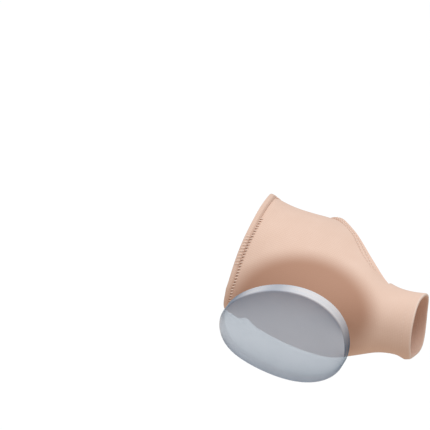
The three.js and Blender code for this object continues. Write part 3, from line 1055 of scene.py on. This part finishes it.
class BUNION_OT_hem_bands(Operator):
    """Make the three turned hems"""

    bl_idname = "bunion.hem_bands"
    bl_label = "Hems"

    def execute(self, context):
        sleeve, colours = context.scene.bunion_sleeve, context.scene.bunion_colours
        knit = made_material(KNIT, jersey, sleeve, colours)
        for name, patches, node in (
            ("midfoot_band", midfoot_band(sleeve), "midfoot_hem"),
            ("forefoot_band", forefoot_band(sleeve), "forefoot_hem"),
            ("toe_band", toe_band(sleeve), "toe_hem"),
        ):
            dress(mesh_piece(name, patches, [knit]), "knit", node)
        return {"FINISHED"}


class BUNION_OT_hem_stitches(Operator):
    """Sew the three hems"""

    bl_idname = "bunion.hem_stitches"
    bl_label = "Stitches"

    def execute(self, context):
        sleeve, colours = context.scene.bunion_sleeve, context.scene.bunion_colours
        thread = made_material("spun_polyester_thread", spun_thread, colours)
        for name, patches in (
            ("midfoot_stitches", midfoot_stitches(sleeve)),
            ("forefoot_stitches", forefoot_stitches(sleeve)),
            ("toe_stitches", toe_stitches(sleeve)),
        ):
            dress(mesh_piece(name, patches, [thread]), "knit")
        return {"FINISHED"}


class BUNION_OT_knit_sleeve(Operator):
    """Make the knit sleeve, which the hems and stitches belong to"""

    bl_idname = "bunion.knit_sleeve"
    bl_label = "Knit sleeve"

    def execute(self, context):
        sleeve, plate = context.scene.bunion_sleeve, context.scene.bunion_plate
        knit = made_material(KNIT, jersey, sleeve, context.scene.bunion_colours)
        piece = dress(mesh_piece("knit_sleeve", sleeve_patches(sleeve, plate), [knit]), "knit", "sleeve")
        wall = piece.modifiers.new("wall", "SOLIDIFY")
        wall.thickness = sleeve.wall
        wall.offset = -1
        return {"FINISHED"}


class BUNION_OT_gel_plate(Operator):
    """Make the gel plate on the medial side"""

    bl_idname = "bunion.gel_plate"
    bl_label = "Gel plate"

    def execute(self, context):
        plate, colours = context.scene.bunion_plate, context.scene.bunion_colours
        materials = [
            made_material("cloudy_elastomer_gel", gel, colours.face_solid, colours),
            made_material("silvery_gel_rim", gel_rim, colours),
            made_material("clear_elastomer_gel", gel, colours.back_solid, colours),
        ]
        piece = dress(mesh_piece("gel_plate", plate_patches(plate), materials), "gel", "gel_pad")
        piece.visible_shadow = False
        piece.visible_diffuse = False
        return {"FINISHED"}


def paper_sweep(colours):
    """Floor and wall in one: a profile of floor, quarter circle and wall, carried once round the vertical axis."""
    bend = np.linspace(0, np.pi / 2, SWEEP_ROWS)
    floor = [-SWEEP_RADIUS, -SWEEP_RADIUS / 2]
    out = SWEEP_RADIUS + np.concatenate([floor, SWEEP_CURVE * np.sin(bend), [SWEEP_CURVE]])
    up = SWEEP_FLOOR + np.concatenate([[0, 0], SWEEP_CURVE * (1 - np.cos(bend)), [SWEEP_HEIGHT]])
    out, up, around = out[:, None], up[:, None], np.linspace(0, -TURN, SWEEP_COLUMNS)
    points = np.stack(np.broadcast_arrays(out * np.cos(around), out * np.sin(around), up), -1)
    sweep = mesh_piece("paper_sweep", [patch(points)], [made_material("matte_paper", matte_paper, colours)])
    for ray in ("diffuse", "glossy", "transmission", "shadow"):
        setattr(sweep, f"visible_{ray}", False)


def soft_sky(scene):
    """World light that goes from dim and warm below to bright and cool above."""
    scene.world = bpy.data.worlds.new("soft_sky")
    scene.world.use_nodes = True
    scene.world.node_tree.nodes.clear()
    add = partial(add_node, scene.world.node_tree)
    height = add("SeparateXYZ", out="Z", Vector=add("TexCoord", out="Generated"))
    level = add("MapRange", Value=height, From_Min=-1, From_Max=1)
    tint = add("Mix", **COLOURED, _0=level, _6=linear(SKY_LOW), _7=linear(SKY_HIGH))
    add("OutputWorld", Surface=add("Background", Color=tint))


def aimed(name, data, back):
    """A lamp or a camera in the scene that looks the other way from its back vector."""
    made = bpy.data.objects.new(name, data)
    made.rotation_mode = "QUATERNION"
    made.rotation_quaternion = Vector(-back).to_track_quat("-Z", "Y")
    bpy.context.scene.collection.objects.link(made)
    return made


class BUNION_OT_stage(Operator):
    """Set up the camera, the light and the paper sweep"""

    bl_idname = "bunion.stage"
    bl_label = "Stage"

    def execute(self, context):
        scene = context.scene
        scene.view_settings.view_transform = "Standard"
        paper_sweep(scene.bunion_colours)
        soft_sky(scene)

        lamp = bpy.data.lights.new("soft_sun", "SUN")
        lamp.energy = SUN_STRENGTH
        lamp.angle = SUN_SPREAD
        aimed("soft_sun", lamp, direction(SUN_AZIMUTH, SUN_ELEVATION))

        back = direction(CAMERA_AZIMUTH, CAMERA_ELEVATION)
        right = direction(CAMERA_AZIMUTH + np.pi / 2, 0)
        up = np.cross(back, right)
        off_right = (FRAME_PIXELS / 2 - ORIGIN_PIXEL[0]) * PIXEL_SIZE
        off_up = (ORIGIN_PIXEL[1] - FRAME_PIXELS / 2) * PIXEL_SIZE
        eye = bpy.data.cameras.new("camera")
        eye.sensor_width = SENSOR
        eye.lens = SENSOR * CAMERA_DISTANCE / (PIXEL_SIZE * FRAME_PIXELS)
        eye.clip_start, eye.clip_end = CLIP
        scene.camera = aimed("camera", eye, back)
        scene.camera.location = right * off_right + up * off_up + back * CAMERA_DISTANCE
        return {"FINISHED"}


class BUNION_PT_panel(Panel):
    """Lists the makers of the pieces and the values they use"""

    bl_idname = "BUNION_PT_panel"
    bl_label = "Bunion pad"
    bl_space_type = "VIEW_3D"
    bl_region_type = "UI"
    bl_category = "Bunion pad"

    def draw(self, context):
        for maker in MAKERS:
            self.layout.operator(maker.bl_idname)
        for name, group in GROUPS.items():
            box = self.layout.box()
            for value in group.__annotations__:
                box.prop(getattr(context.scene, name), value)


MAKERS = (BUNION_OT_hem_bands, BUNION_OT_hem_stitches, BUNION_OT_knit_sleeve, BUNION_OT_gel_plate, BUNION_OT_stage)
GROUPS = {"bunion_sleeve": SleeveSizes, "bunion_plate": PlateSizes, "bunion_colours": Colours}
CLASSES = (*GROUPS.values(), *MAKERS, BUNION_PT_panel)


def register():
    for cls in CLASSES:
        bpy.utils.register_class(cls)
    for name, group in GROUPS.items():
        setattr(bpy.types.Scene, name, PointerProperty(type=group))


def unregister():
    for name in GROUPS:
        delattr(bpy.types.Scene, name)
    for cls in reversed(CLASSES):
        bpy.utils.unregister_class(cls)


def main():
    """Registers the add-on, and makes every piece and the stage."""
    register()
    bpy.ops.bunion.hem_bands()
    bpy.ops.bunion.hem_stitches()
    bpy.ops.bunion.knit_sleeve()
    bpy.ops.bunion.gel_plate()
    bpy.ops.bunion.stage()


if __name__ == "__main__":
    main()
